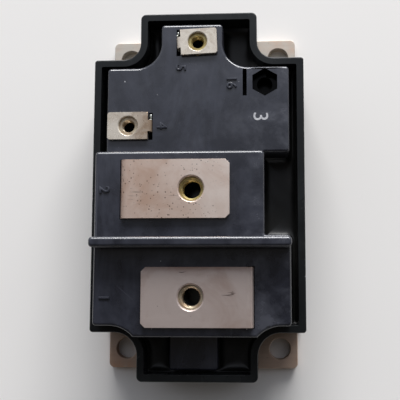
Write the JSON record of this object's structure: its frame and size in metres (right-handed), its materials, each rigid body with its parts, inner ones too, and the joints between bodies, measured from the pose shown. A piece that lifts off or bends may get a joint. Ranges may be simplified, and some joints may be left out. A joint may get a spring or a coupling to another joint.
{
  "type": "power transistor module",
  "caption": "Low flat power transistor module: metal base plate, dark potted case, stepped terminal block with screw terminals, a tall rib and open recesses.",
  "frame": {"origin": "centre of the base plate's underside", "axes": "+Z out of the base plate towards the terminals; +Y along the module towards the control terminals; +X to the right seen from above with +Y up"},
  "size_m": [0.062, 0.108, 0.035],
  "materials": {
    "nickel_plate": "dull nickel plate on copper",
    "adhesive": "cured silicone adhesive",
    "case_plastic": "moulded, satin dark grey",
    "block_plastic": "moulded, satin blue grey",
    "resin": "cast black resin with a wet shine",
    "gel": "clear soft gel",
    "busbar_nickel": "nickel plate, lightly stained",
    "tag_nickel": "nickel plate",
    "yellow_zinc": "yellow passivated zinc",
    "plain_zinc": "zinc plate",
    "solder": "dull solder",
    "copper": "bare copper",
    "ceramic": "white alumina",
    "silicon": "metallised silicon",
    "aluminium_wire": "bright aluminium wire"
  },
  "bodies": {
    "root": {"base_plate": "nickel_plate", "case_seal": "adhesive", "case_frame": "case_plastic", "terminal_block": "block_plastic", "potting_resin": "resin", "silicone_gel": "gel", "emitter_terminal": "busbar_nickel", "collector_terminal": "busbar_nickel", "base_terminal": "tag_nickel", "auxiliary_emitter_terminal": "tag_nickel", "emitter_nut": "yellow_zinc", "collector_nut": "plain_zinc", "base_nut": "plain_zinc", "auxiliary_emitter_nut": "yellow_zinc", "substrate_solder": "solder", "bottom_copper": "copper", "ceramic_substrates": "ceramic", "emitter_copper": "copper", "base_copper": "copper", "collector_copper": "copper", "chip_solder": "solder", "transistor_chips": "silicon", "driver_chips": "silicon", "diode_chips": "silicon", "emitter_bond_wires": "aluminium_wire", "driver_bond_wires": "aluminium_wire", "diode_bond_wires": "aluminium_wire", "collector_link": "copper", "base_link": "copper", "emitter_sense_link": "copper"}
  },
  "joints": []
}
